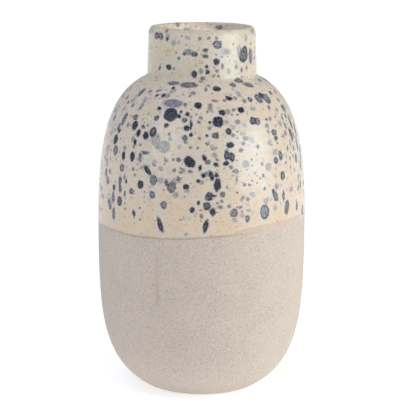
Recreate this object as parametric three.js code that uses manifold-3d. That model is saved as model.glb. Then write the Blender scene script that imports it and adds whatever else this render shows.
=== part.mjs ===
// A stoneware vase: a thrown clay body with a turned foot, a clay neck luted onto its shoulder, a speckled glaze that
// covers the upper half and laps over the lip, and a liner glaze inside.
// Millimetres, +Z up, origin at the centre of the foot's underside, the front towards -Y.
import * as THREE from "three";
import { mergeVertices } from "three/addons/utils/BufferGeometryUtils.js";
import Module from "manifold-3d";

const { degToRad } = THREE.MathUtils;

// Finished outside of the vase, measured over the glaze. Each "pull" is how far a curve holds the direction it starts in.
const HEIGHT = 230;
const FOOT_RADIUS = 36.5;
const FOOT_SLOPE = degToRad(29);
const FOOT_PULL = 30.7;
const BELLY_RADIUS = 66.5;
const BELLY_HEIGHT = 94;
const BELLY_PULL_DOWN = 50.4;
const BELLY_PULL_UP = 54;
const SHOULDER_RADIUS = 37.5; // the crease where the neck is luted on
const SHOULDER_HEIGHT = 198;
const SHOULDER_SLOPE = degToRad(27.5);
const SHOULDER_PULL = 29.4;
const NECK_RADIUS = 34.5;
const NECK_START = 204.5; // where the hollow above the crease has turned upright
const LIP_RADIUS = 33.7; // outside of the neck, where the lip starts to round over
const LIP_HEIGHT = 4.5;

// Wall, foot and floor.
const WALL = 5.4; // clay and both glazes, from the belly up
const FLOOR_HEIGHT = 8; // top of the liner glaze at the centre
const FLOOR_RADIUS = 18;
const FLOOR_PULL = 34;
const FLOOR_TO_BELLY_PULL = 62;
const RECESS_DEPTH = 2.5; // hollow turned into the underside of the foot
const RECESS_RADIUS = 28.5;
const FOOT_RING_RADIUS = 30; // inner edge of the ring that the vase stands on
const FOOT_BEVEL = 0.6;

// Glaze coats.
const COAT = 0.45;
const GAP = 0.3; // clearance between touching pieces
const BARE = 0.25; // how far the unglazed clay lies below the glaze's surface
const GLAZE_EDGE_HEIGHT = 109; // edge of the speckled glaze, on the axis
const GLAZE_EDGE_TILT = degToRad(2.6);
const GLAZE_EDGE_TURN = degToRad(27); // the edge climbs towards this heading, from +X to +Y

// Facets.
const TURN_SEGMENTS = 48;
const STEPS = { lowerWall: 9, dome: 10, crease: 2, neck: 1, lip: 6, floor: 7 };

const CLAY_COLOR = 0xbcafa6;
const GLAZE_COLOR = 0xd3c6b6;
const LINER_COLOR = 0xb39a84;

const at = (radius, height) => new THREE.Vector2(radius, height);

const lowerWall = new THREE.CubicBezierCurve(
  at(FOOT_RADIUS, 0),
  at(FOOT_RADIUS + FOOT_PULL * Math.cos(FOOT_SLOPE), FOOT_PULL * Math.sin(FOOT_SLOPE)),
  at(BELLY_RADIUS, BELLY_HEIGHT - BELLY_PULL_DOWN),
  at(BELLY_RADIUS, BELLY_HEIGHT),
);
const dome = new THREE.CubicBezierCurve(
  at(BELLY_RADIUS, BELLY_HEIGHT),
  at(BELLY_RADIUS, BELLY_HEIGHT + BELLY_PULL_UP),
  at(
    SHOULDER_RADIUS + SHOULDER_PULL * Math.cos(SHOULDER_SLOPE),
    SHOULDER_HEIGHT - SHOULDER_PULL * Math.sin(SHOULDER_SLOPE),
  ),
  at(SHOULDER_RADIUS, SHOULDER_HEIGHT),
);
const crease = new THREE.QuadraticBezierCurve(
  at(SHOULDER_RADIUS, SHOULDER_HEIGHT),
  at(NECK_RADIUS, SHOULDER_HEIGHT + (SHOULDER_RADIUS - NECK_RADIUS) * Math.tan(SHOULDER_SLOPE)),
  at(NECK_RADIUS, NECK_START),
);
const neck = new THREE.LineCurve(at(NECK_RADIUS, NECK_START), at(LIP_RADIUS, HEIGHT - LIP_HEIGHT));
const lip = new THREE.EllipseCurve(
  LIP_RADIUS - WALL / 2,
  HEIGHT - LIP_HEIGHT,
  WALL / 2,
  LIP_HEIGHT,
  0,
  Math.PI,
);
// Inside of the bowl, which thickens towards the foot, so it is a curve of its own up to the belly.
const bowl = new THREE.CubicBezierCurve(
  at(FLOOR_RADIUS, FLOOR_HEIGHT),
  at(FLOOR_RADIUS + FLOOR_PULL, FLOOR_HEIGHT),
  at(BELLY_RADIUS - WALL, BELLY_HEIGHT - FLOOR_TO_BELLY_PULL),
  at(BELLY_RADIUS - WALL, BELLY_HEIGHT),
);

// The dome stops short of the crease by the clearance, so that the body and the neck don't touch.
const DOME_END = 1 - GAP / dome.getLength();

// Points along a curve, each moved towards the axis side of the wall by the inset.
function inset(curve, steps, distance, end = 1) {
  return Array.from({ length: steps + 1 }, (_, i) => {
    const share = (i / steps) * end;
    const along = curve.getTangentAt(share);
    return curve.getPointAt(share).add(at(-along.y, along.x).multiplyScalar(distance));
  });
}

const outsideAboveCrease = (distance) => [
  ...inset(crease, STEPS.crease, distance),
  ...inset(neck, STEPS.neck, distance).slice(1),
  ...inset(lip, STEPS.lip, distance).slice(1),
];

// The inside of the neck runs parallel to its outside. The lip has already turned over, so its end is left out.
const insideAboveCrease = (distance) =>
  [
    ...inset(crease, STEPS.crease, distance),
    ...inset(neck, STEPS.neck, distance).slice(1, -1),
  ].reverse();

const domeInside = (distance) => inset(dome, STEPS.dome, distance, DOME_END).reverse();

// Inside of the bowl, from the belly down to the axis; depth is how far below the liner's surface it lies.
const bowlInside = (depth) => [
  ...inset(bowl, STEPS.floor, -depth).reverse().slice(1),
  at(0, FLOOR_HEIGHT - depth),
];

function revolve(profile) {
  return new THREE.LatheGeometry(profile, TURN_SEGMENTS).rotateX(Math.PI / 2);
}

const revolveRing = (profile) => revolve([...profile, profile[0].clone()]);

// Everything below the glaze's edge, which was dipped at a slight tilt.
function belowGlazeEdge(lowered) {
  const size = 4 * BELLY_RADIUS;
  return new THREE.BoxGeometry(size, size, size)
    .translate(0, 0, -size / 2)
    .rotateY(-GLAZE_EDGE_TILT)
    .rotateZ(GLAZE_EDGE_TURN)
    .translate(0, 0, GLAZE_EDGE_HEIGHT - lowered);
}

const wasm = await Module();
wasm.setup();

function solidOf(geometry) {
  const bare = geometry.clone();
  bare.deleteAttribute("normal");
  bare.deleteAttribute("uv");
  const merged = mergeVertices(bare);
  return new wasm.Manifold(
    new wasm.Mesh({
      numProp: 3,
      vertProperties: merged.attributes.position.array,
      triVerts: new Uint32Array(merged.index.array),
    }),
  );
}

function geometryOf(solid) {
  const { vertProperties, triVerts } = solid.getMesh();
  const geometry = new THREE.BufferGeometry();
  geometry.setAttribute("position", new THREE.BufferAttribute(vertProperties, 3));
  geometry.setIndex(new THREE.BufferAttribute(triVerts, 1));
  geometry.computeVertexNormals();
  return geometry;
}

const cut = (geometry, tool) => geometryOf(solidOf(geometry).subtract(solidOf(tool)));

// The thrown body: foot ring, belly, dome up to the crease, and a shallow seat around the dome that the glaze fills.
function clayBody() {
  const thrown = revolve([
    at(0, RECESS_DEPTH),
    at(RECESS_RADIUS, RECESS_DEPTH),
    at(FOOT_RING_RADIUS, 0),
    at(FOOT_RADIUS - FOOT_BEVEL, 0),
    ...inset(lowerWall, STEPS.lowerWall, BARE),
    ...inset(dome, STEPS.dome, BARE, DOME_END).slice(1),
    ...domeInside(WALL - COAT - GAP),
    ...bowlInside(COAT + GAP),
  ]);
  const seat = revolveRing([
    ...inset(dome, STEPS.dome, -WALL),
    ...inset(dome, STEPS.dome, COAT + GAP).reverse(),
  ]);
  return cut(thrown, cut(seat, belowGlazeEdge(GAP)));
}

// The neck, from the crease up, with its rounded lip.
function neckCollar() {
  return revolveRing([...outsideAboveCrease(COAT + GAP), ...insideAboveCrease(WALL - COAT - GAP)]);
}

// The speckled coat, from its tilted edge up over the lip and down the inside of the neck.
function speckledGlaze() {
  const coat = revolveRing([
    ...inset(dome, STEPS.dome, 0).slice(0, -1),
    ...outsideAboveCrease(0),
    ...insideAboveCrease(WALL),
    ...insideAboveCrease(WALL - COAT).reverse(),
    ...outsideAboveCrease(COAT).reverse(),
    ...inset(dome, STEPS.dome, COAT).slice(0, -1).reverse(),
  ]);
  return cut(coat, belowGlazeEdge(0));
}

// The coat inside the bowl and the dome, which ends where the speckled coat starts.
function linerGlaze() {
  return revolve([
    ...bowlInside(COAT).reverse(),
    ...inset(dome, STEPS.dome, WALL - COAT, DOME_END),
    ...domeInside(WALL),
    ...bowlInside(0),
  ]);
}

function piece(name, geometry, color, roughness) {
  const mesh = new THREE.Mesh(geometry, new THREE.MeshStandardMaterial({ color, roughness, metalness: 0 }));
  mesh.name = name;
  return mesh;
}

const vase = new THREE.Group();
vase.add(
  piece("clay_body", clayBody(), CLAY_COLOR, 0.85),
  piece("neck_collar", neckCollar(), CLAY_COLOR, 0.85),
  piece("speckled_glaze", speckledGlaze(), GLAZE_COLOR, 0.25),
  piece("liner_glaze", linerGlaze(), LINER_COLOR, 0.3),
);

export default vase;
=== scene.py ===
"""A stoneware vase, bare clay below and speckled glaze above, on a plain pale floor."""
import math
import random

import bmesh
import bpy
import numpy as np
from mathutils import Euler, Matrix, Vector


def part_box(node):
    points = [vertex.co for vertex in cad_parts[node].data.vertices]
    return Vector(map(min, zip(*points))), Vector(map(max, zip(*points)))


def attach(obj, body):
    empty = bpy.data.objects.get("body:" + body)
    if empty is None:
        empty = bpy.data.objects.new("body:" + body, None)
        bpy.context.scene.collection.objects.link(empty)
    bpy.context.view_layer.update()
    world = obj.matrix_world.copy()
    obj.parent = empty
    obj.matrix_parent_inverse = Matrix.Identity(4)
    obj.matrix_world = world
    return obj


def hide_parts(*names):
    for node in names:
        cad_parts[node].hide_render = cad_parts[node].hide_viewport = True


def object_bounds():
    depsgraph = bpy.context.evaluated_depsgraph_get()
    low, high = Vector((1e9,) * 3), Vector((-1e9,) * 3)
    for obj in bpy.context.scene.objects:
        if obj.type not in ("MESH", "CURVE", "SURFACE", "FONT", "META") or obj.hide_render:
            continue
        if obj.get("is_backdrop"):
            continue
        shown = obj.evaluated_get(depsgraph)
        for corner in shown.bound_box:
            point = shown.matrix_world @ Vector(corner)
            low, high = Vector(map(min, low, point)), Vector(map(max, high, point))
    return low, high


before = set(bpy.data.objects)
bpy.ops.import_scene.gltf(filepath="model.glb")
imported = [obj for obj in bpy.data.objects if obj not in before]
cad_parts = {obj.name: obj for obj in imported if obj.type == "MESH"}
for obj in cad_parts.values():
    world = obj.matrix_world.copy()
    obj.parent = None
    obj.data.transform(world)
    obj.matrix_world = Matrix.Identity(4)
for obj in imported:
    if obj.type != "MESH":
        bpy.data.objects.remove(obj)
CAD_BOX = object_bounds()
SCENE = bpy.context.scene

# ------------------------------------------------------------------ sizes
# Radii, heights and distances are in the design's millimetres, and MM is one of them in metres.
DESIGN_HEIGHT = 230
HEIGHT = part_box("speckled_glaze")[1].z
MM = HEIGHT / DESIGN_HEIGHT
BARE = 0.25  # how far the bare clay lies below the glaze's surface
COAT = 0.45
WALL = 5.4
BELLY_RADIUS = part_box("clay_body")[1].x / MM + BARE
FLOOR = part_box("liner_glaze")[0].z / MM + COAT
EDGE_HEIGHT = 109.0  # lower edge of the speckled glaze, on the axis
EDGE_TILT = math.radians(2.6)
EDGE_TURN = math.radians(27)  # the heading in which that edge climbs, from +X to +Y
BEAD = 0.04  # how far the glaze swells just above its edge
SOLE = 0.02  # how far the clay lies under the back of a coat
CLAY_TURNS = 300
NECK_TURNS = 144
GLAZE_TURNS = 384
LINER_TURNS = 160


# ------------------------------------------------------------------ outline
def bezier(p0, p1, p2, p3, count=200):
    t = np.linspace(0, 1, count)[:, None]
    p0, p1, p2, p3 = (np.array(p, float) for p in (p0, p1, p2, p3))
    return (1 - t) ** 3 * p0 + 3 * t * (1 - t) ** 2 * p1 + 3 * t * t * (1 - t) * p2 + t**3 * p3


def polar(start, length, degrees):
    """The (radius, height) point at that distance and slope from start."""
    angle = math.radians(degrees)
    return start[0] + length * math.cos(angle), start[1] + length * math.sin(angle)


class Outline:
    """A chain of (radius, height) points, looked up by the distance run along it."""

    def __init__(self, *stretches):
        points = np.vstack(stretches)
        steps = np.hypot(*np.diff(points, axis=0).T)
        self.points = points[np.r_[True, steps > 1e-6]]
        self.run = np.r_[0, np.cumsum(np.hypot(*np.diff(self.points, axis=0).T))]
        self.length = self.run[-1]
        along = np.gradient(self.points, self.run, axis=0)
        self.along = along / np.hypot(*along.T)[:, None]

    def look_up(self, run, values):
        return np.stack([np.interp(run, self.run, values[:, i]) for i in (0, 1)], axis=-1)

    def at(self, run, inset=0.0):
        """(radius, height) at these distances, moved towards the axis side by the inset."""
        along = self.look_up(run, self.along)
        inward = np.stack([-along[..., 1], along[..., 0]], axis=-1)
        return self.look_up(run, self.points) + inward * np.asarray(inset)[..., None]

    def run_at(self, height):
        """The first distance at which the curve has risen to this height."""
        return np.interp(height, np.maximum.accumulate(self.points[:, 1]), self.run)


FOOT = (36.5, 0)
BELLY = (BELLY_RADIUS, 94)
CREASE = (37.5, 198)
NECK_FOOT = (34.5, 204.5)
LIP_FOOT = (33.7, 225.5)

lower_wall = bezier(FOOT, polar(FOOT, 30.7, 29), polar(BELLY, 50.4, -90), BELLY)
dome = bezier(BELLY, polar(BELLY, 54, 90), polar(CREASE, 29.4, -27.5), CREASE)
crease_bend = (NECK_FOOT[0], CREASE[1] + 1.6)
crease = bezier(CREASE, crease_bend, crease_bend, NECK_FOOT, 40)
neck = np.linspace(NECK_FOOT, LIP_FOOT, 40)
lip_turn = np.linspace(0, math.pi, 80)
lip = np.column_stack([
    LIP_FOOT[0] - WALL / 2 + WALL / 2 * np.cos(lip_turn),
    LIP_FOOT[1] + (DESIGN_HEIGHT - LIP_FOOT[1]) * np.sin(lip_turn),
])
upright = Outline(crease, neck)
neck_inside = upright.at(upright.run[::-1], WALL)
dome_run = Outline(dome)
dome_inside = dome_run.at(dome_run.run, WALL)
belly_inside = (BELLY_RADIUS - WALL, BELLY[1])
bowl = bezier((18, FLOOR), (52, FLOOR), polar(belly_inside, 62, -90), belly_inside)

OUTSIDE = Outline(lower_wall, dome, crease, neck)
COATED = Outline(lower_wall, dome, crease, neck, lip, neck_inside)
NECK_WALL = Outline(crease, neck, lip, neck_inside)
INSIDE = Outline([(0.0, FLOOR)], bowl, dome_inside)
RUN_CREASE = Outline(lower_wall, dome).length
RUN_LIP = OUTSIDE.length + Outline(lip).length / 2  # the crest of the lip


# ------------------------------------------------------------------ meshes
def ease(x, low, high):
    """0 below low, 1 above high, and a smooth climb between."""
    t = np.clip((np.asarray(x, float) - low) / (high - low), 0, 1)
    return t * t * (3 - 2 * t)


def waves(angle, sizes, seed):
    """A closed wave round the vase: a sine for each (waves round, size) pair."""
    rng = random.Random(seed)
    return sum(size * np.sin(count * angle + rng.uniform(0, 2 * math.pi)) for count, size in sizes)


def edge_run(angle):
    """Where the speckled glaze ends: a tilted dip line, as unsteady as the hand that dipped it."""
    x, y = BELLY_RADIUS * np.sin(angle), -BELLY_RADIUS * np.cos(angle)
    climb = x * math.cos(EDGE_TURN) + y * math.sin(EDGE_TURN)
    height = EDGE_HEIGHT + climb * math.tan(EDGE_TILT)
    height = height + 0.6 * np.sin(3 * angle - 0.3)
    return OUTSIDE.run_at(height + waves(angle, [(7, 0.13), (13, 0.08), (29, 0.05)], 4))


def hand_made(angle, height):
    """How far the thrown wall leaves a true circle."""
    oval = 0.12 * np.sin(2 * angle + 0.7) + 0.06 * np.sin(3 * angle + height / 60)
    lines = 0.012 * np.sin(height * 1.3 - angle) + 0.05 * np.sin(height / 9 + 2 * angle)
    return oval + lines * ease(height, 0, 12)


def turned(name, rows, turns, node):
    """A piece turned about the axis; rows(angle) gives every row's (radius, height) in each column."""
    angle = np.arange(turns) * (2 * math.pi / turns)
    section = rows(angle)
    radius, height = section[..., 0], section[..., 1]
    radius = np.where(radius > 1, radius + hand_made(angle, height), radius)
    points = np.stack([radius * np.sin(angle), -radius * np.cos(angle), height], axis=-1) * MM
    count = len(points)
    row, col = np.meshgrid(np.arange(count), np.arange(turns), indexing="ij")
    up, right = (row + 1) % count, (col + 1) % turns
    corners = [row * turns + col, row * turns + right, up * turns + right, up * turns + col]
    mesh = bpy.data.meshes.new(name)
    faces = np.stack(corners, axis=-1).reshape(-1, 4)
    mesh.from_pydata(points.reshape(-1, 3).tolist(), [], faces.tolist())
    drawn = bmesh.new()
    drawn.from_mesh(mesh)
    bmesh.ops.remove_doubles(drawn, verts=drawn.verts, dist=MM / 1000)
    bmesh.ops.recalc_face_normals(drawn, faces=drawn.faces)
    drawn.to_mesh(mesh)
    drawn.free()
    mesh.polygons.foreach_set("use_smooth", [True] * len(mesh.polygons))
    piece = bpy.data.objects.new(name, mesh)
    SCENE.collection.objects.link(piece)
    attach(piece, "root")
    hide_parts(node)
    return piece


def paint(piece, name, values, kind="FLOAT_VECTOR", domain="POINT"):
    field = {"FLOAT_VECTOR": "vector", "FLOAT_COLOR": "color"}[kind]
    layer = piece.data.attributes.new(name, kind, domain)
    layer.data.foreach_set(field, np.asarray(values, np.float32).ravel())


# The underside: the hollow, its rounded wall, the flat ring and the rounded start of the outside.
UNDERSIDE = [(0, 2.5), (14, 2.5), (27.6, 2.5), (28.4, 2.35), (28.9, 1.9), (29.5, 0.5), (29.8, 0.12),
             (30.2, 0), (32, 0), (35.3, 0), (35.75, 0.08), (36.05, 0.3)]
# Distances above the glaze's edge at which its rows lie, close together over the rounded edge.
EDGE_ROWS = [0, 0.05, 0.12, 0.2, 0.3, 0.45, 0.7, 1.0, 1.4, 2.0, 2.8, 3.8, 5.0]
NOMINAL_EDGE = OUTSIDE.run_at(EDGE_HEIGHT)
SETTLED = 45.0  # how far above the edge the rows have become level again
LIP_RUNS = (OUTSIDE.length, OUTSIDE.length + Outline(lip).length)


def glaze_distances():
    """The outer rows' distances above the nominal edge, closer together at the crease and the lip."""
    crease_start = RUN_CREASE - NOMINAL_EDGE
    neck_start = crease_start + Outline(crease).length
    lip_start, lip_end = (run - NOMINAL_EDGE for run in LIP_RUNS)
    end = COATED.length - NOMINAL_EDGE
    return np.concatenate([
        EDGE_ROWS,
        np.linspace(EDGE_ROWS[-1], crease_start - 3, 64)[1:],
        np.linspace(crease_start - 3, neck_start + 1, 22)[1:],
        np.linspace(neck_start + 1, lip_start, 12)[1:],
        np.linspace(lip_start, lip_end, 26)[1:],
        np.linspace(lip_end, end, 16)[1:],
    ])


def glaze_runs(angle):
    """Each row's run in each column, and how far it lies below the surface."""
    outer = glaze_distances()
    inner = outer[::-3]
    inner = inner[inner > 1.5]
    distance = np.concatenate([outer, inner, [0.9, 0.4]])[:, None]
    bead = BARE - (BARE + BEAD) * ease(outer, -0.1, 0.55) + BEAD * ease(outer, 1.0, 3.5)
    back = np.full(len(inner), COAT - 0.05)
    back[0] = COAT / 2
    inset = np.concatenate([bead, back, [0.33, 0.28]])[:, None]
    shift = (edge_run(angle) - NOMINAL_EDGE)[None, :] * (1 - ease(distance, 0, SETTLED))
    return NOMINAL_EDGE + distance + shift, inset + 0 * shift


def glaze_rows(angle):
    return COATED.at(*glaze_runs(angle))


def clay_rows(angle):
    edge = edge_run(angle)[None, :]
    low = np.linspace(0, NOMINAL_EDGE - 6, 84)
    near = np.array([-4.5, -3, -2, -1.2, -0.6, -0.2, 0.1, 0.4, 0.8, 1.3, 2.0, 3.5, 6.0])
    high = np.linspace(NOMINAL_EDGE + 10, RUN_CREASE - 0.4, 40)
    run = np.concatenate([low, NOMINAL_EDGE + near, high])[:, None]
    run = run + (edge - NOMINAL_EDGE) * (1 - ease(np.abs(run - NOMINAL_EDGE), 0, SETTLED))
    outer = OUTSIDE.at(run, BARE + (COAT + 0.06 - BARE) * ease(run - edge, 0.15, 1.3))
    within = np.linspace(INSIDE.length - 0.4, 0, 90)[:, None] + 0 * edge
    inner = INSIDE.at(within, np.full(within.shape, -(COAT + SOLE)))
    inner[-1, :, 0] = 0
    under = np.array(UNDERSIDE, float)[:, None, :] + np.zeros((1, len(angle), 1))
    keep = outer[:, :, 1].max(axis=1) > 0.45
    return np.concatenate([under, outer[keep], inner])


def collar_rows(angle):
    run = np.linspace(0.05, NECK_WALL.length, 90)[:, None] + 0 * angle[None, :]
    return NECK_WALL.at(run, np.full(run.shape, COAT + SOLE))


def liner_rows(angle):
    out = np.linspace(0, INSIDE.length - 0.3, 130)
    run = np.concatenate([out, out[::-2]])[:, None] + 0 * angle[None, :]
    inset = np.concatenate([0 * out, 0 * out[::-2] - COAT + 0.05])[:, None] + 0 * run
    rows = INSIDE.at(run, inset)
    rows[[0, -1], :, 0] = 0
    return rows


clay = turned("thrown_body", clay_rows, CLAY_TURNS, "clay_body")
collar = turned("luted_neck", collar_rows, NECK_TURNS, "neck_collar")
glaze = turned("speckled_coat", glaze_rows, GLAZE_TURNS, "speckled_glaze")
liner = turned("liner_coat", liner_rows, LINER_TURNS, "liner_glaze")


# ------------------------------------------------------------------ marks in the glaze
def linear(red, green, blue):
    """An sRGB colour of 0 to 255 as the linear one that shaders use."""
    parts = [channel / 255 for channel in (red, green, blue)]
    return tuple(c / 12.92 if c < 0.04045 else ((c + 0.055) / 1.055) ** 2.4 for c in parts)


# Each kind's colour, how dark it is in all and how much darker at its rim, and its cover.
INKS = {
    "D": (linear(122, 130, 154), 0.95, 0.2, 1.0),
    "K": (linear(134, 136, 144), 0.60, 0.6, 1.0),
    "S": (linear(148, 149, 157), 0.44, 0.46, 0.95),
    "V": (linear(148, 152, 172), 0.42, 0.2, 0.78),
    "U": (linear(138, 148, 186), 0.56, 0.24, 0.8),
    "R": (linear(152, 154, 164), 0.36, 0.75, 0.97),
    "P": (linear(160, 159, 161), 0.16, 0.26, 0.72),
    "F": (linear(160, 156, 150), 0.16, 0.3, 0.45),
    "B": (linear(136, 114, 98), 0.45, 0.12, 0.85),
}
NAVY = linear(14, 17, 29)
CAMERA_PITCH = math.radians(11.38)
# The marks that show from the front: kind, degrees from the front, height above the floor, width, height
# as seen (the width if it is left out) and tilt in degrees (0 if it is left out).
NECK_MARKS = """
R 16 221.5 5.6 5, D 15 211 4 4, D 5.5 204.8 3 2.8, D 5 208 2.2 2, D -7.5 203.5 3.2 4.5, B 1 201 2.5 2.5,
V -13.5 217 6 3.4, S -8 215.5 4.2 3, S -18.5 215.5 2.5 2, S 3.5 218 3 2.5, S 3.5 214.5 3.5 2.5,
K 49 214.5 7.8 10 15, S 61.5 213 4.6 9, R -49 227 4.5 4, R -56.5 226 4.5 4.5, D -39 224 2 2,
P -31 222 3.5 3.5, P -25 222.5 2.5 2, S -24.5 213 2 2, B -2 225.3 2.5 1.8, P -15.5 228 3 2.5,
D -36.5 207 4.2 3.4, S -49 206 2.2 3 15, B -29.5 206.5 1.8, F 24 217 6 5, F 29 217 3 3, P 42 217 4 7,
B 21.5 208 1.8 3.5, P 28.5 205 2.5 3, B 45 205 2 3, B 53 206 1.5 2.5, P 53 224.5 3 4, B 15 205.5 2 1.8,
B 12.5 207.5 1.4, B 12 202.5 1.6, B 17 202.3 1.6, B 6.5 226.5 1.8, B 15 227.5 1.8
"""
LEFT_SHOULDER = """
S -12 197.3 10.5 3.6, S -27.5 197.8 7.6 2.4, D -24.4 195.6 2.6 1.8, P -23.4 194 3 3, U -20.3 187.3 12.4 5,
D -20 181 8.6 8.2, D -13.4 183 1.8, D -14.5 180.3 2.8 2.4, D -9.1 181.6 2.8, B -6.8 180.2 1.5,
D -9.2 173.8 3.5, S -10.5 178.2 3, D -6.4 175.5 1.8 6, D -6.2 170 2.4 2.2, S -9.8 168 3 3.2,
B -9 165.5 1.6, D -2.6 186.5 4.6 4, B -11.3 186.8 2.2, B -8.8 191.5 1.4, D -29.6 191.2 3 2.4,
D -35.2 191 2.2 1.8, D -29 184 2.6 2.4, S -29.3 178.5 3, K -30 170.3 4.4 6 10, D -34.4 167.8 4.2 4.6,
D -40 169 3.2 4.2, D -44.4 172.8 4.5 6 15, S -46 177.8 4.6 3.6, S -56.5 175.5 3.6 8 10, B -50.8 172.5 2.4 3,
S -60 170.3 3 5, D -58 168 2.5 3, D -60 162.7 5 6 10, D -21.7 174.8 3.2 2.6, S -37.6 172.8 2.8 2.2,
S -53 191.5 3.2 5.5 12, B -61 185 3 2.2, P -44.3 187.8 3.5 3, P -56.2 186.8 4 3, B -44.7 183 2 2.4 35,
B -19 169.7 2, P -18.2 167 2.2
"""
LEFT_BELLY = """
P -27.2 165.5 6 6.5, P -21.8 162.3 8 7, D -41.5 163.3 2.6 3.4, B -37.6 162 2 1.6, B -42 160.8 1.8,
R -58 156.5 5.6, D -49.4 154.3 3.4 5, D -42 154.5 4 5.6, S -49.5 146.7 3.8 4.8, S -33.2 158 5 2,
S -36.4 155.9 2.5 3, B -36.3 153.3 2 3, D -30.7 147.5 3 7.5 -45, B -34.8 148.6 1.6, S -26.7 142 5 6,
D -34.7 138.4 4.6 5.4, P -22.4 142.1 4 3.4, S -19 141 2.2 3.8 -15, P -14.6 142 4.6 3.5,
S -12.5 144 2 3 -20, S -16 138.3 5.3 6.5, D -8.3 139.3 3.6, P -7.8 136.7 2.6 2, D -6.5 154 6 7.8 -40,
D -1 150.5 2.2 3.2 10, D -1.8 142.7 2.4, S -12.6 155.3 3 2.4, B -15.7 155 1.6, B -5.9 162.6 1.6,
P -12.6 162.3 1.8, B -2 162.3 1.8, B -15 148.7 1.8 2.2, B -11.2 147.5 2 1.4, B -5.9 148.4 2.6 1.6,
P -22.6 149.2 3, P -26.5 153.1 2.6, B -27.2 151.4 1.6, B -46.8 141.5 1.8 3, D -45.1 139 2 3,
S -50.3 138.7 3.6 5 10, D -55.8 133.5 3 3.2, S -49.8 134 3.2 5, S -63.5 136.6 4.5 5, S -66.7 141 4.5 5,
P -67 147.2 5 6, P -68.7 154 5, S -40.8 133.8 3.8 3.4 -20, B -39 144 2 1.8, S -45.8 131.5 2.2 3.5,
B -31.6 134.2 1.6 0.9
"""
LOW_LEFT = """
S -27 133 3.8 4.6 -15, K -50 126.1 5.2 6.2, S -56.3 127.3 3.6 7.4, S -60 122.5 4.5 7 -30,
S -55.4 117.4 3.6 8.2, D -38.8 120.5 2.4 4 -10, S -20.3 127.4 4.2 4.8 -15, D -22.2 115.5 3.4 9.4 -18,
D -4.9 125.4 2.8 3.8 25, D -1.7 129.9 2 2.2, B 0.1 121.7 2 2.2, B -0.3 125.1 1.2, B -7.8 110.3 2 1
"""
LOW_RIGHT = """
D 2 115.5 3.4 8 12, K 2.8 127.6 4.6, K 4 133.6 4.8 5.4, D 6.5 134.1 2.4 1.2, D 5.9 124.1 4 4.6,
D 8.3 140.3 3.8 7.6 5, S 11.2 134.6 3.6, B 10.7 130.7 1.6, B 8.1 129.1 1.8 1.4, B 9.9 126.8 2.8 2.2,
B 14.5 127.3 2 1.6, S 17.2 123 4.6 5.2, P 17.4 118.7 3 2.6, S 24.8 119 3 4, P 21.7 121.2 3,
P 26 124.2 2.6 2, B 20.4 126.2 2 1.8, B 22.4 132.2 1.8, B 21.6 130.8 1.6, B 25.2 131 2 2.6,
P 28 133.5 4 2.6 25, R 35.6 121.8 6.9 8.8, P 36.6 128.4 4 3.4, S 43.6 130.3 4 6.5 -12, D 42 133.7 2.4 3,
V 44.9 136.5 3.2, S 52.8 122 4.4 8.6 12, S 50.2 129.6 2.2 7, P 57.5 132.4 4.6 3.8, S 64 121 3 6,
B 35.8 136 2, P 42.8 123.4 3
"""
RIGHT_BELLY = """
K 13.9 157.8 3.6 5.6, K 16.7 156.7 3.8 6 -10, D 13.3 153 3.8 3, V 15.2 158.3 2.4, D 16.2 163.9 5 3.4,
K 15.8 171.6 3.8 3.6, S 8 169.5 4.2 3.6, D 8.8 168.7 1.4, D 3 169.4 1.8 1.6, B 3.1 164.9 1.8,
D 1.4 156.4 2.4 4 -20, S 3.3 153.8 3.4 2.6, P 7.3 158.2 3.4 3, P 7 162 2, P 5.6 163.1 2, D 7.9 152.3 3 2.6,
B 8.4 155.5 1.8, D 0.8 146.2 2.6 2.4, V 2.4 147.2 2.4, D 5.2 146 3 6 -20, V 3.9 146.7 2.4,
D 8 146.2 2.2 2.6, B 19 143.4 1.2 3.2, B 17.6 148.1 1.6, B 15.9 150.7 2.2, P 24.7 152 4.4 4,
P 39.3 149 4.8 5, S 50 154.4 3.6 5.4 -10, S 45.6 152.1 4 4.6, P 45.7 157 4.6 3, S 47.7 168.8 4.6 3.6,
S 48 165.3 3.4 2.6, P 42.2 163.2 3.6, S 50.2 142.3 4 5.4, S 67 150.3 4 5, S 66 164.5 3.2 6,
B 57.6 158 2 3 15, B 22.3 160.3 2.6, B 33.6 161.5 2.2, B 35.7 144 1.8, P 30.2 146 2, B 13.5 138.7 1 2,
B 23.6 139.7 2, B 26.5 139 1.6
"""
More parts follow.
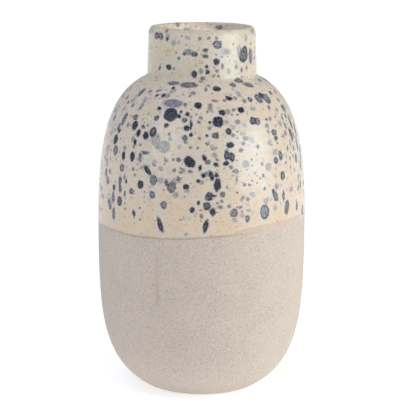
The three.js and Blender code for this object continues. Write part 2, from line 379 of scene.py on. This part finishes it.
RIGHT_SHOULDER = """
D 10 177.5 7 6.4, D 13 182.5 4 3.4, D 26.5 183.4 4 3.8, D 19.8 190.1 4 2.9, D 12.6 195.5 5 3.2,
B 9.2 189 3 1.6, B 16 189 2 1.8, S 28.8 196.9 4 2.6 10, S 39 198.8 6 2.6 8, S 46 196.3 6 3 20,
P 29 192.3 3 4, S 36.4 188.7 3.4 2.8, S 44.9 188.9 5.5, D 49.5 190.4 3.5, S 53 188.2 6.2 6.4 -25,
P 35.9 183.4 3.6 2.6, K 33 176.8 4.4 4.6, S 36.2 176.3 4 4.4, V 22.5 176.7 3.2 2.8, B 21.2 183.7 2 1.8,
B 19.4 181.2 1.6, B 44.1 176.6 2.2 2, V 42.8 173.1 3.2 3, P 55.7 173 3.8 3.4, F 26.4 174.7 3 2.4,
B 3.5 183 1.6, P 6.8 183.1 1.8, B -1.8 177.3 1.8, D 4.7 177.2 1.8, P 15.1 177.2 2.4, B 18.3 169.3 2.6 2,
P 19 174 2.4, B 50.6 183.2 2.4, B 3.4 195 2, B 6 197 1.6, F 24.6 169.9 3.6 3, F 27.8 167 2.5,
F 30.2 165.9 3.4, S 65 167 3 5, B 58 181 1.4 2.4, B 60.5 176 1.4 2.6, S 61 171 1.8 4 -12, B 55 179 1.3,
B 62 160.5 1.4 2.6, B 59 151.5 1.4 2.2, B 63 143.5 1.4 2.6, B 58.5 146 1.3 1.8, B 56 165.5 1.4 2,
B 54 149.5 1.6,
S 70 172 3 8, S 72.5 158 3.2 9, S 74 145 3 8, S 69 180.5 3 5, S 71 133 3 6, S 75.5 166 3 8, B 66 176.5 2 3,
B 65.5 157 2 3.5, B 69.5 164 2 4, B 67.5 186 2 2.4, S 63.5 190.5 3 2.6, B 68 138.5 2 3.6, S 77 152 3 9
"""
# The marks that show inside the mouth: kind, degrees from the front, mm past the crest of the lip,
# width, height.
MOUTH_MARKS = "S 157 4.2 4.4 2.6, D 153.5 7.6 2.6 3, D 168 8.8 3 2, P 200 6 3.4 3"
SEEN = ",".join([
    NECK_MARKS, LEFT_SHOULDER, LEFT_BELLY, LOW_LEFT, LOW_RIGHT, RIGHT_BELLY, RIGHT_SHOULDER,
])
READABLE = 52  # degrees from the front within which a mark's size can be read well
HIDDEN = (66, 294)  # degrees from the front between which the photograph hardly shows any mark
BACK_CENTRE = 180
SIDE = 92  # degrees from the back beyond which a made-up mark lies at the sides
INSIDE_MARKS = 46
TRIES = 14  # for a place that no other mark takes
SHOWN_INSIDE = 13  # how far past the lip's crest the inside of the neck shows
CHUNK = 4000  # faces looked at together, to save memory


def entries(text):
    """Each mark's kind and numbers."""
    for entry in text.split(","):
        kind, *numbers = entry.split()
        yield kind, [float(number) for number in numbers]


def mark(kind, angle, run, half_width, half_height, tilt):
    radius = COATED.look_up(run, COATED.points)[0]
    ink, dark, rim, cover = INKS[kind]
    return [angle, run, radius, half_width, half_height, tilt, dark, cover, *ink, rim]


def front_marks():
    marks = []
    for kind, (degrees, height, width, *rest) in entries(SEEN):
        seen_height = rest[0] if rest else width
        tilt = math.radians(rest[1]) if len(rest) > 1 else 0.0
        angle = math.radians(degrees)
        run = OUTSIDE.run_at(height)
        out, up = OUTSIDE.look_up(run, OUTSIDE.along)
        # How much of a step along the wall the camera sees, as it looks down on it.
        seen = up * math.cos(CAMERA_PITCH) - out * math.cos(angle) * math.sin(CAMERA_PITCH)
        marks.append(mark(kind, angle, run, width / 2, seen_height / seen / 2, tilt))
    for kind, (degrees, past_lip, width, height) in entries(MOUTH_MARKS):
        run = RUN_LIP + past_lip
        marks.append(mark(kind, math.radians(degrees), run, width / 2, height / 2, 0.0))
    return marks


def turn_between(a, b):
    return (a - b + math.pi) % (2 * math.pi) - math.pi


def is_clear(new, marks):
    for old in marks:
        across = turn_between(new[0], old[0]) * new[2] / (new[3] + old[3])
        along = (new[1] - old[1]) / (new[4] + old[4])
        if math.hypot(across, along) < 0.85:
            return False
    return True


def scattered_marks(front):
    """Marks like the front's on the back and inside the neck, which the photograph doesn't show."""
    rng = random.Random(23)
    models = []
    for (kind, _), model in zip(entries(SEEN), front):
        if abs(model[0]) < math.radians(READABLE):
            models.append((kind, model))
    marks = list(front)
    # As many on the back as would crowd it like the readable part of the front.
    back = len(models) * (HIDDEN[1] - HIDDEN[0]) // (2 * READABLE)
    for i in range(back + INSIDE_MARKS):
        for _ in range(TRIES):
            kind, model = rng.choice(models)
            if i < back:
                degrees = rng.uniform(*HIDDEN)
                angle = math.radians(degrees)
                run = model[1] + rng.gauss(0, 6)
                low, high = float(edge_run(angle)) + 2, RUN_LIP - 3
            else:
                angle = rng.uniform(0, 2 * math.pi)
                run = rng.uniform(RUN_LIP + 5, COATED.length - 2)
                low, high = RUN_LIP, COATED.length
                # What shows inside the mouth from the front has marks of its own.
                if run < RUN_LIP + SHOWN_INSIDE and math.cos(angle) < -0.4:
                    continue
            size = rng.uniform(0.8, 1.2)
            if i < back and abs(degrees - BACK_CENTRE) > SIDE:
                # At the sides the marks are small and mottled, like those that show near the outline.
                kind = "S" if kind == "D" else kind
                size = 0.65 * size
            wide, tall = model[3] * size, model[4] * size * rng.uniform(0.9, 1.1)
            run = min(max(run, low + tall), high)
            new = mark(kind, angle, run, wide, tall, model[5] + rng.gauss(0, 0.25))
            if is_clear(new, marks):
                marks.append(new)
                break
    return marks


def paint_marks(piece, runs, turns):
    """Give each face its two nearest marks: their offsets, sizes and inks, for the shader to draw."""
    marks = np.array(scattered_marks(front_marks()))
    corners = np.empty(len(piece.data.loops), int)
    piece.data.loops.foreach_get("vertex_index", corners)
    angle = (corners % turns) * (2 * math.pi / turns)
    run = runs.ravel()[corners]
    face_angle = angle.reshape(-1, 4)
    middle = face_angle[:, 0] + turn_between(face_angle, face_angle[:, :1]).mean(axis=1)
    middle_run = run.reshape(-1, 4).mean(axis=1)

    def offsets(at_angle, at_run, chosen):
        x = turn_between(at_angle, chosen[..., 0]) * chosen[..., 2]
        y = at_run - chosen[..., 1]
        cos, sin = np.cos(chosen[..., 5]), np.sin(chosen[..., 5])
        return x * cos - y * sin, x * sin + y * cos

    margin = 1.3  # the ragged rim and the halo reach this far out
    nearest = np.empty((len(middle), 2), int)
    for start in range(0, len(middle), CHUNK):
        part = slice(start, start + CHUNK)
        x, y = offsets(middle[part, None], middle_run[part, None], marks[None])
        far = np.hypot(x / (marks[:, 3] + margin), y / (marks[:, 4] + margin))
        nearest[part] = np.argsort(far, axis=1)[:, :2]
    for layer in (0, 1):
        chosen = marks[np.repeat(nearest[:, layer], 4)]
        x, y = offsets(angle, run, chosen)
        paint(piece, f"place_{layer}", np.stack([x, y, chosen[:, 6]], -1), domain="CORNER")
        paint(piece, f"size_{layer}", chosen[:, [3, 4, 7]], domain="CORNER")
        paint(piece, f"ink_{layer}", chosen[:, 8:12], "FLOAT_COLOR", "CORNER")


glaze_angle = np.arange(GLAZE_TURNS) * (2 * math.pi / GLAZE_TURNS)
glaze_run = glaze_runs(glaze_angle)[0]
paint_marks(glaze, glaze_run, GLAZE_TURNS)
above_edge = glaze_run - edge_run(glaze_angle)
thin_band = 1.0 + 2.6 * ease(np.degrees(turn_between(glaze_angle, 0)), 8, 30) + 0 * glaze_run
paint(glaze, "dip", np.stack([above_edge, thin_band, glaze_run - RUN_LIP], -1))


# ------------------------------------------------------------------ materials
SHARE, FROM, TO = 0, 6, 7  # a colour Mix node's input sockets
MIXED = 2  # its output socket


class Nodes:
    """Short calls for a material's node tree, with lengths in the design's millimetres."""

    def __init__(self, name):
        self.material = bpy.data.materials.new(name)
        self.material.use_nodes = True
        self.tree = self.material.node_tree
        self.shader = self.tree.nodes["Principled BSDF"]
        spot = self.add("TexCoord").outputs["Object"]
        self.spot = self.vector("SCALE", spot, scale=1 / MM)

    def add(self, kind, **settings):
        node = self.tree.nodes.new("ShaderNode" + kind)
        for name, value in settings.items():
            setattr(node, name, value)
        return node

    def feed(self, socket, value):
        if isinstance(value, bpy.types.NodeSocket):
            self.tree.links.new(value, socket)
        elif hasattr(value, "__len__") and len(value) == 3 and len(socket.default_value) == 4:
            socket.default_value = (*value, 1)
        else:
            socket.default_value = value

    def math(self, operation, *values, clamp=False):
        node = self.add("Math", operation=operation, use_clamp=clamp)
        for socket, value in zip(node.inputs, values):
            self.feed(socket, value)
        return node.outputs[0]

    def vector(self, operation, *values, scale=None):
        node = self.add("VectorMath", operation=operation)
        for socket, value in zip(node.inputs, values):
            self.feed(socket, value)
        if scale is not None:
            self.feed(node.inputs["Scale"], scale)
        return node.outputs["Value" if operation == "LENGTH" else "Vector"]

    def ramp(self, value, low, high, start=0.0, end=1.0):
        """Start below low, end above high, with a smooth climb between."""
        node = self.add("MapRange", interpolation_type="SMOOTHSTEP")
        names = ("Value", "From Min", "From Max", "To Min", "To Max")
        for name, part in zip(names, (value, low, high, start, end)):
            self.feed(node.inputs[name], part)
        return node.outputs[0]

    def mix(self, share, a, b):
        node = self.add("Mix", data_type="RGBA")
        self.feed(node.inputs[SHARE], share)
        self.feed(node.inputs[FROM], a)
        self.feed(node.inputs[TO], b)
        return node.outputs[MIXED]

    def noise(self, size, detail=2.0, roughness=0.5, vector=None, output=0):
        """Noise whose features are about that many mm wide."""
        node = self.add("TexNoise")
        self.feed(node.inputs["Vector"], vector or self.spot)
        self.feed(node.inputs["Scale"], 1 / size)
        self.feed(node.inputs["Detail"], detail)
        self.feed(node.inputs["Roughness"], roughness)
        return node.outputs[output]

    def dots(self, spacing, largest, soft=0.15, bias=2.0):
        """Round dots of up to that radius, scattered through space at that spacing."""
        node = self.add("TexVoronoi")
        self.feed(node.inputs["Vector"], self.spot)
        self.feed(node.inputs["Scale"], 1 / spacing)
        split = self.add("SeparateColor")
        self.feed(split.inputs[0], node.outputs["Color"])
        radius = self.math("MULTIPLY", self.math("POWER", split.outputs[0], bias), largest)
        beyond = self.math("SUBTRACT", self.math("MULTIPLY", node.outputs["Distance"], spacing), radius)
        return self.ramp(beyond, -soft, soft, 1.0, 0.0)

    def attribute(self, name):
        return self.add("Attribute", attribute_name=name)

    def around_zero(self, noise, size):
        """The noise, of that size up and down in all, about zero."""
        return self.math("MULTIPLY", self.math("SUBTRACT", noise, 0.5), size)

    def split(self, vector):
        node = self.add("SeparateXYZ")
        self.feed(node.inputs[0], vector)
        return node.outputs

    def bump(self, height):
        node = self.add("Bump")
        self.feed(node.inputs["Height"], height)
        node.inputs["Distance"].default_value = MM
        self.feed(self.shader.inputs["Normal"], node.outputs[0])

    def put_on(self, piece):
        piece.data.materials.clear()
        piece.data.materials.append(self.material)


def clay_material():
    n = Nodes("bare_stoneware")
    cloud = n.noise(17, 3)
    fine = n.noise(0.8, 3, 0.7)
    sand = n.noise(1.4, 2, 0.6, vector=n.vector("ADD", n.spot, (30, 8, 2)))
    coarse = n.noise(2.4, 2)
    colour = n.mix(n.ramp(cloud, 0.35, 0.65), linear(205, 194, 181), linear(209, 197, 184))
    colour = n.mix(n.ramp(fine, 0.3, 0.54, 0.6, 0.0), colour, linear(160, 148, 139))
    colour = n.mix(n.ramp(fine, 0.52, 0.72, 0.0, 0.45), colour, linear(228, 218, 208))
    colour = n.mix(n.ramp(coarse, 0.3, 0.7, 0.0, 0.1), colour, linear(222, 200, 184))
    colour = n.mix(n.ramp(sand, 0.28, 0.46, 0.34, 0.0), colour, linear(160, 146, 130))
    colour = n.mix(n.math("MULTIPLY", n.dots(1.8, 0.42), 0.5), colour, linear(112, 100, 90))
    # A faint warm run below the glaze, a little to the left of the front.
    across, deep, up = n.split(n.spot)
    off_line = n.math("ADD", n.math("ADD", across, 26.0), n.math("MULTIPLY", cloud, 2.0))
    off_line = n.math("ABSOLUTE", off_line)
    on_front = n.ramp(deep, -20, -30)
    streak = n.math("MULTIPLY", n.ramp(off_line, 0.3, 1.8, 0.3, 0.0), on_front)
    stretch = n.math("MULTIPLY", n.ramp(up, 58, 68), n.ramp(up, 92, 102, 1.0, 0.0))
    streak = n.math("MULTIPLY", streak, stretch)
    colour = n.mix(streak, colour, linear(186, 164, 134))
    n.feed(n.shader.inputs["Base Color"], colour)
    n.shader.inputs["Roughness"].default_value = 0.86
    n.shader.inputs["Specular IOR Level"].default_value = 0.3
    height = n.math("MULTIPLY", fine, 0.14)
    height = n.math("ADD", height, n.math("MULTIPLY", sand, 0.36))
    height = n.math("ADD", height, n.math("MULTIPLY", coarse, 0.12))
    n.bump(height)
    return n


def drawn_mark(n, layer, warp, grain, mottle):
    """One layer of marks: its cover, its colour and its pale halo."""
    place = n.attribute(f"place_{layer}").outputs["Vector"]
    size = n.attribute(f"size_{layer}").outputs["Vector"]
    ink = n.attribute(f"ink_{layer}")
    dark = n.split(place)[2]
    half_width, half_height, cover = n.split(size)
    flat = n.vector("MULTIPLY", n.vector("DIVIDE", n.vector("ADD", place, warp), size), (1, 1, 0))
    outside = n.math("SUBTRACT", n.vector("LENGTH", flat), 1.0)
    outside = n.math("MULTIPLY", outside, n.math("MINIMUM", half_width, half_height))
    ragged = n.math("ADD", outside, grain)
    soft = n.math("SUBTRACT", 1.45, n.math("MULTIPLY", cover, 0.85))
    there = n.ramp(ragged, n.math("MULTIPLY", soft, -0.8), soft, cover, 0.0)
    rim = n.math("MULTIPLY", n.ramp(outside, -1.3, -0.2), ink.outputs["Alpha"])
    dark = n.math("ADD", n.math("ADD", dark, rim), mottle, clamp=True)
    halo = n.math("MULTIPLY", n.ramp(outside, 0.2, 2.6, 0.35, 0.0), cover)
    return there, n.mix(dark, ink.outputs["Color"], NAVY), halo


def glaze_material():
    n = Nodes("speckled_cream_glaze")
    dip = n.split(n.attribute("dip").outputs["Vector"])
    above, band, past_lip = dip[0], dip[1], dip[2]
    broad = n.noise(26, 2)
    patch = n.noise(5.5, 3, 0.55)
    patch_too = n.noise(3.2, 3, 0.6, vector=n.vector("ADD", n.spot, (40, 7, 90)))
    fine = n.noise(0.7, 3, 0.7)
    blotch = n.ramp(n.noise(3.6, 4, 0.68, n.vector("ADD", n.spot, (3, 60, 20))), 0.33, 0.67)
    # Blotchy cream, yellower near the glaze's edge, and greyer and darker on the neck, where the darkening
    # is painted shade.
    lower = n.mix(blotch, linear(218, 194, 158), linear(220, 202, 177))
    upper = n.mix(blotch, linear(218, 199, 164), linear(219, 211, 200))
    cream = n.mix(n.ramp(above, 4, 50), lower, upper)
    cream = n.mix(n.ramp(broad, 0.35, 0.65, 0.0, 0.35), cream, linear(224, 209, 185))
    # The neck's cream is partly a greyer glaze and partly painted shade: darker than the body's, for less
    # light on the neck.
    neck_grey_and_shade = n.mix(blotch, linear(209, 193, 157), linear(207, 200, 184))
    cream = n.mix(n.ramp(above, 99, 106), cream, neck_grey_and_shade)
    cream = n.mix(n.ramp(patch, 0.50, 0.70, 0.0, 0.55), cream, linear(218, 193, 169))
    cream = n.mix(n.ramp(patch, 0.26, 0.42, 0.5, 0.0), cream, linear(209, 202, 175))
    cream = n.mix(n.ramp(patch_too, 0.55, 0.75, 0.0, 0.5), cream, linear(200, 193, 184))
    cream = n.mix(n.ramp(fine, 0.35, 0.65, 0.0, 0.22), cream, linear(172, 160, 145))

    # The glaze is thin just above its edge, and on the right a wider band shows the clay's warmth.
    uneven = n.math("ADD", above, n.around_zero(n.noise(4, 3, 0.6), 1.6))
    thin = n.ramp(n.math("SUBTRACT", uneven, band), -1.0, 0.8, 1.0, 0.0)
    warm = n.ramp(band, 1.2, 3.2)
    thin = n.math("MULTIPLY", thin, n.ramp(band, 1.0, 3.2, 0.3, 0.85))
    cream = n.mix(thin, cream, linear(198, 178, 165))
    line = n.math("MULTIPLY", n.ramp(uneven, 0.5, 2.1, 0.62, 0.0), n.math("SUBTRACT", 1.0, warm))
    cream = n.mix(line, cream, linear(152, 138, 128))
    off_top = n.math("ABSOLUTE", n.math("SUBTRACT", uneven, band))
    top_line = n.math("MULTIPLY", n.ramp(off_top, 0.1, 0.9, 0.4, 0.0), warm)
    cream = n.mix(top_line, cream, linear(188, 162, 146))
    # Inside the neck the coat is thinner too, and its colour is lightened well past a thin coat's: painted
    # light for the inside, where little light reaches.
    cream = n.mix(n.ramp(past_lip, 1.0, 6.0, 0.0, 0.95), cream, linear(246, 228, 212))

    # Small dots of iron, and larger faint spots that lie deeper in the glaze.
    dots = n.math("MULTIPLY", n.dots(3.1, 0.8, bias=1.5), n.ramp(above, 2, 14, 0.3, 0.85))
    cream = n.mix(dots, cream, linear(84, 74, 70))
    cream = n.mix(n.math("MULTIPLY", n.dots(1.9, 0.55), 0.45), cream, linear(128, 110, 100))
    spots = n.math("MULTIPLY", n.dots(5.2, 1.9, 0.5), n.ramp(above, 8, 34, 0.0, 0.75))
    cream = n.mix(spots, cream, linear(92, 92, 104))
    faint = n.math("MULTIPLY", n.dots(3.5, 1.3, 0.35, bias=1.4), n.ramp(above, 3, 20, 0.0, 0.38))
    cream = n.mix(faint, cream, linear(128, 128, 140))

    # The marks that are painted on the mesh.
    warp = n.noise(3.4, 3, 0.6, output=1)
    warp = n.vector("SCALE", n.vector("SUBTRACT", warp, (0.5, 0.5, 0.5)), scale=2.3)
    grain = n.around_zero(n.noise(0.9, 2, 0.6), 1.5)
    mottle = n.around_zero(n.noise(0.9, 2, 0.7, n.vector("ADD", n.spot, (9, 3, 5))), 3.2)
    first, first_ink, first_halo = drawn_mark(n, 0, warp, grain, mottle)
    second, second_ink, second_halo = drawn_mark(n, 1, warp, grain, mottle)
    halo = n.math("MAXIMUM", first_halo, second_halo)
    cream = n.mix(halo, cream, linear(206, 207, 213))
    # Both marks weigh the same whichever comes first, so that no seam shows where they swap.
    both = n.math("ADD", n.math("ADD", first, second), 0.0001)
    ink = n.mix(n.math("DIVIDE", second, both), first_ink, second_ink)
    open_share = n.math("MULTIPLY", n.math("SUBTRACT", 1.0, first), n.math("SUBTRACT", 1.0, second))
    marked = n.math("SUBTRACT", 1.0, open_share)
    n.feed(n.shader.inputs["Base Color"], n.mix(marked, cream, ink))

    rough = n.math("ADD", n.ramp(patch_too, 0.2, 0.8, 0.2, 0.3), n.ramp(above, 98, 108, 0.0, 0.03))
    n.feed(n.shader.inputs["Roughness"], n.math("ADD", rough, n.math("MULTIPLY", marked, 0.08)))
    n.shader.inputs["Specular IOR Level"].default_value = 0.5
    height = n.math("MULTIPLY", n.noise(9, 1), 0.09)
    height = n.math("ADD", height, n.math("MULTIPLY", n.noise(2.6, 1), 0.008))
    height = n.math("ADD", height, n.math("MULTIPLY", marked, -0.02))
    n.bump(height)
    return n


def liner_material():
    n = Nodes("tan_liner_glaze")
    height = n.split(n.spot)[2]
    patch = n.noise(7, 3, 0.6)
    colour = n.mix(n.ramp(patch, 0.35, 0.65), linear(196, 168, 142), linear(186, 160, 138))
    colour = n.mix(n.ramp(height, 6, 40, 0.4, 0.0), colour, linear(150, 122, 100))
    colour = n.mix(n.math("MULTIPLY", n.dots(3.6, 0.7), 0.6), colour, linear(110, 90, 78))
    n.feed(n.shader.inputs["Base Color"], colour)
    n.feed(n.shader.inputs["Roughness"], n.ramp(patch, 0.3, 0.7, 0.2, 0.32))
    n.bump(n.math("MULTIPLY", n.noise(3, 2), 0.05))
    return n


bare_clay = clay_material()
bare_clay.put_on(clay)
bare_clay.put_on(collar)
glaze_material().put_on(glaze)
liner_material().put_on(liner)


# ------------------------------------------------------------------ floor, light and camera
def make_floor():
    size = 14.0
    mesh = bpy.data.meshes.new("floor")
    drawn = bmesh.new()
    bmesh.ops.create_grid(drawn, x_segments=8, y_segments=8, size=size)
    drawn.to_mesh(mesh)
    drawn.free()
    floor = bpy.data.objects.new("floor", mesh)
    SCENE.collection.objects.link(floor)
    floor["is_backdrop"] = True
    n = Nodes("white_paper")
    shade = n.noise(60, 2)
    n.feed(n.shader.inputs["Base Color"], n.mix(shade, linear(232, 232, 232), linear(236, 236, 236)))
    n.feed(n.shader.inputs["Emission Color"], n.mix(shade, (0.94, 0.96, 1.0), (0.93, 0.95, 0.99)))
    # The floor is brighter away from the vase, where a studio's backdrop lights would reach it.
    far = n.vector("LENGTH", n.spot)
    n.feed(n.shader.inputs["Emission Strength"], n.ramp(far, 300, 1600, 0.545, 0.8))
    n.shader.inputs["Roughness"].default_value = 0.9
    n.shader.inputs["Specular IOR Level"].default_value = 0.1
    n.put_on(floor)


def around(degrees, distance, height):
    """A point that many mm from the axis, at that angle from the front, positive to the right."""
    angle = math.radians(degrees)
    return Vector((distance * math.sin(angle), -distance * math.cos(angle), height)) * MM


def softbox(name, place, target, width, height, power, colour, diffuse=True, gloss=True, spread=180):
    light = bpy.data.lights.new(name, "AREA")
    light.shape = "RECTANGLE"
    light.size = width * MM
    light.size_y = height * MM
    light.energy = power
    light.color = colour
    light.spread = math.radians(spread)
    lamp = bpy.data.objects.new(name, light)
    lamp.location = place
    lamp.rotation_euler = (target - place).to_track_quat("-Z", "Y").to_euler()
    lamp.visible_diffuse = diffuse
    lamp.visible_glossy = gloss
    SCENE.collection.objects.link(lamp)


def light_the_room():
    world = bpy.data.worlds.new("studio")
    world.use_nodes = True
    background = world.node_tree.nodes["Background"]
    background.inputs["Strength"].default_value = 0.367
    # The walls that the glaze mirrors are whiter than the light that fills the room.
    ray = world.node_tree.nodes.new("ShaderNodeLightPath")
    walls = world.node_tree.nodes.new("ShaderNodeMix")
    walls.data_type = "RGBA"
    walls.inputs[FROM].default_value = (0.945, 0.877, 0.772, 1)
    walls.inputs[TO].default_value = (0.95, 1.05, 1.15, 1)
    world.node_tree.links.new(ray.outputs["Is Glossy Ray"], walls.inputs[SHARE])
    world.node_tree.links.new(walls.outputs[MIXED], background.inputs["Color"])
    SCENE.world = world
    middle = Vector((0, 0, 110)) * MM
    # Two boxes that show in the glaze, and lights that only fill the shadows.
    softbox("key", around(58, 700, 285), around(0, 0, 150), 500, 400,
            2.85, (0.67, 0.83, 0.97), diffuse=False)
    softbox("left_window", around(-43, 900, 520), middle, 520, 600,
            1.9, (0.9, 0.95, 1.0), diffuse=False)
    softbox("right_side", around(74, 1100, 320), middle, 800, 900,
            7.6, (0.965, 0.99, 1.0), gloss=False)
    softbox("upper_left", around(-65, 800, 1300), middle, 900, 900,
            5.0, (0.34, 0.56, 1.0), gloss=False)
    softbox("overhead", around(-32, 300, 1400), middle, 900, 900,
            5.0, (1.0, 0.955, 0.99), gloss=False)
    far_lip = Vector((10, 28, 228)) * MM
    softbox("mouth_spot", around(-42, 700, 1150), far_lip, 70, 70,
            0.0115, (1.0, 0.97, 0.97), gloss=False, spread=3)


CAMERA_PLACE = (0, -1000, 313.4)
CAMERA_TURN = math.radians(0.312)  # to the right
CAMERA_ROLL = math.radians(0.22)
LENS = 136.07


def place_camera():
    data = bpy.data.cameras.new("camera")
    data.sensor_width = 36
    data.lens = LENS
    camera = bpy.data.objects.new("camera", data)
    camera.location = Vector(CAMERA_PLACE) * MM
    aim = Euler((math.pi / 2 - CAMERA_PITCH, 0, -CAMERA_TURN)).to_matrix()
    roll = Euler((0, 0, CAMERA_ROLL)).to_matrix()
    camera.rotation_euler = (aim @ roll).to_euler()
    SCENE.collection.objects.link(camera)
    SCENE.camera = camera


make_floor()
light_the_room()
place_camera()
SCENE.view_settings.view_transform = "Standard"


def numbers(box):
    return [[float(value) for value in corner] for corner in box]


bpy.context.view_layer.update()
{"cad": numbers(CAD_BOX), "visual": numbers(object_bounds())}
